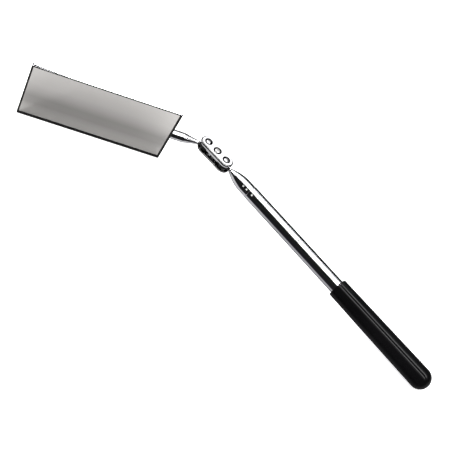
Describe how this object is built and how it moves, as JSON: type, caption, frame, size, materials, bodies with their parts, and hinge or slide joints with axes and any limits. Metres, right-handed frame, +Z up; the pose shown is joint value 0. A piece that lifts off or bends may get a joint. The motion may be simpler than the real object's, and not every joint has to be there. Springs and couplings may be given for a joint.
{
  "type": "telescoping inspection mirror",
  "caption": "Rectangular inspection mirror on a double ball joint and a telescoping chromed handle with a black dipped grip, for looking behind and under things.",
  "frame": {"origin": "middle of the bounding box, at the level of the surface it lies on", "axes": "+X along the bench from the grip towards the tip of the handle; +Z up; +Y completes a right-handed frame"},
  "size_m": [0.2878, 0.0828, 0.0532],
  "materials": {
    "grip_vinyl": "smooth dipped vinyl",
    "tube_chrome": "bright plated",
    "plug_steel": "turned",
    "sleeve_brass": "drawn",
    "ferrule_chrome": "bright plated",
    "pin_steel": "ground",
    "ball_steel": "polished",
    "link_chrome": "bright plated",
    "screw_steel": "plated",
    "frame_chrome": "bright plated",
    "mirror_silver": "silvered glass",
    "backing_card": "plain card",
    "rivet_steel": "plated"
  },
  "bodies": {
    "handle": {"outer_tube": "tube_chrome", "tube_end_plug": "plug_steel", "grip": "grip_vinyl"},
    "section_1": {"section_tube_1": "tube_chrome", "friction_sleeve_1": "sleeve_brass"},
    "section_2": {"section_tube_2": "tube_chrome", "friction_sleeve_2": "sleeve_brass"},
    "section_3": {"section_tube_3": "tube_chrome", "friction_sleeve_3": "sleeve_brass"},
    "section_4": {"section_tube_4": "tube_chrome", "friction_sleeve_4": "sleeve_brass"},
    "last_slider": {"friction_sleeve_5": "sleeve_brass"},
    "tip": {"section_tube_5": "tube_chrome", "nose_ferrule": "ferrule_chrome", "handle_neck_pin": "pin_steel"},
    "handle_ball_turn": {"handle_ball": "ball_steel"},
    "link": {"front_link_plate": "link_chrome", "rear_link_plate": "link_chrome"},
    "screw": {"tension_screw": "screw_steel"},
    "head_ball_turn": {"head_ball": "ball_steel"},
    "head_neck": {"head_neck_pin": "pin_steel"},
    "head": {"mirror_frame": "frame_chrome", "mirror_glass": "mirror_silver", "backing_pad": "backing_card", "stem_ferrule": "ferrule_chrome", "tongue_rivets": "rivet_steel"}
  },
  "joints": [
    {"name": "section_1_slide", "type": "slide", "parent": "handle", "child": "section_1", "axis": [0.9941, 0, 0.108], "range_m": [0, 0.132]},
    {"name": "section_2_slide", "type": "slide", "parent": "section_1", "child": "section_2", "axis": [0.9941, 0, 0.108], "range_m": [0, 0.129]},
    {"name": "section_3_slide", "type": "slide", "parent": "section_2", "child": "section_3", "axis": [0.9941, 0, 0.108], "range_m": [0, 0.126]},
    {"name": "section_4_slide", "type": "slide", "parent": "section_3", "child": "section_4", "axis": [0.9941, 0, 0.108], "range_m": [0, 0.123]},
    {"name": "section_5_slide", "type": "slide", "parent": "section_4", "child": "last_slider", "axis": [0.9941, 0, 0.108], "range_m": [0, 0.12]},
    {"name": "tip_spin", "type": "hinge", "parent": "last_slider", "child": "tip", "pos_m": [0.03347, -0.03454, 0.02543], "axis": [0.9941, 0, 0.108], "continuous": true},
    {"name": "tip_tilt", "type": "hinge", "parent": "tip", "child": "handle_ball_turn", "pos_m": [0.03347, -0.03454, 0.02543], "axis": [0, 1, 0], "range_deg": [-10.19, 9.81]},
    {"name": "tip_swing", "type": "hinge", "parent": "handle_ball_turn", "child": "link", "pos_m": [0.03347, -0.03454, 0.02543], "axis": [-0.1047, 0, 0.9945], "range_deg": [-91.39, 88.61]},
    {"name": "screw_turn", "type": "hinge", "parent": "link", "child": "screw", "pos_m": [0.04117, -0.03436, 0.02624], "axis": [-0.1047, 0, 0.9945], "range_deg": [-180, 90]},
    {"name": "head_swing", "type": "hinge", "parent": "link", "child": "head_ball_turn", "pos_m": [0.04888, -0.03417, 0.02705], "axis": [0.1047, 0, -0.9945], "range_deg": [-54.65, 125.35]},
    {"name": "head_tilt", "type": "hinge", "parent": "head_ball_turn", "child": "head_neck", "pos_m": [0.04888, -0.03417, 0.02705], "axis": [-0.5949, 0.8014, -0.0627], "range_deg": [-14.84, 5.16]},
    {"name": "head_spin", "type": "hinge", "parent": "head_neck", "child": "head", "pos_m": [0.04888, -0.03417, 0.02705], "axis": [0.8029, 0.596, -0.0003], "continuous": true}
  ]
}
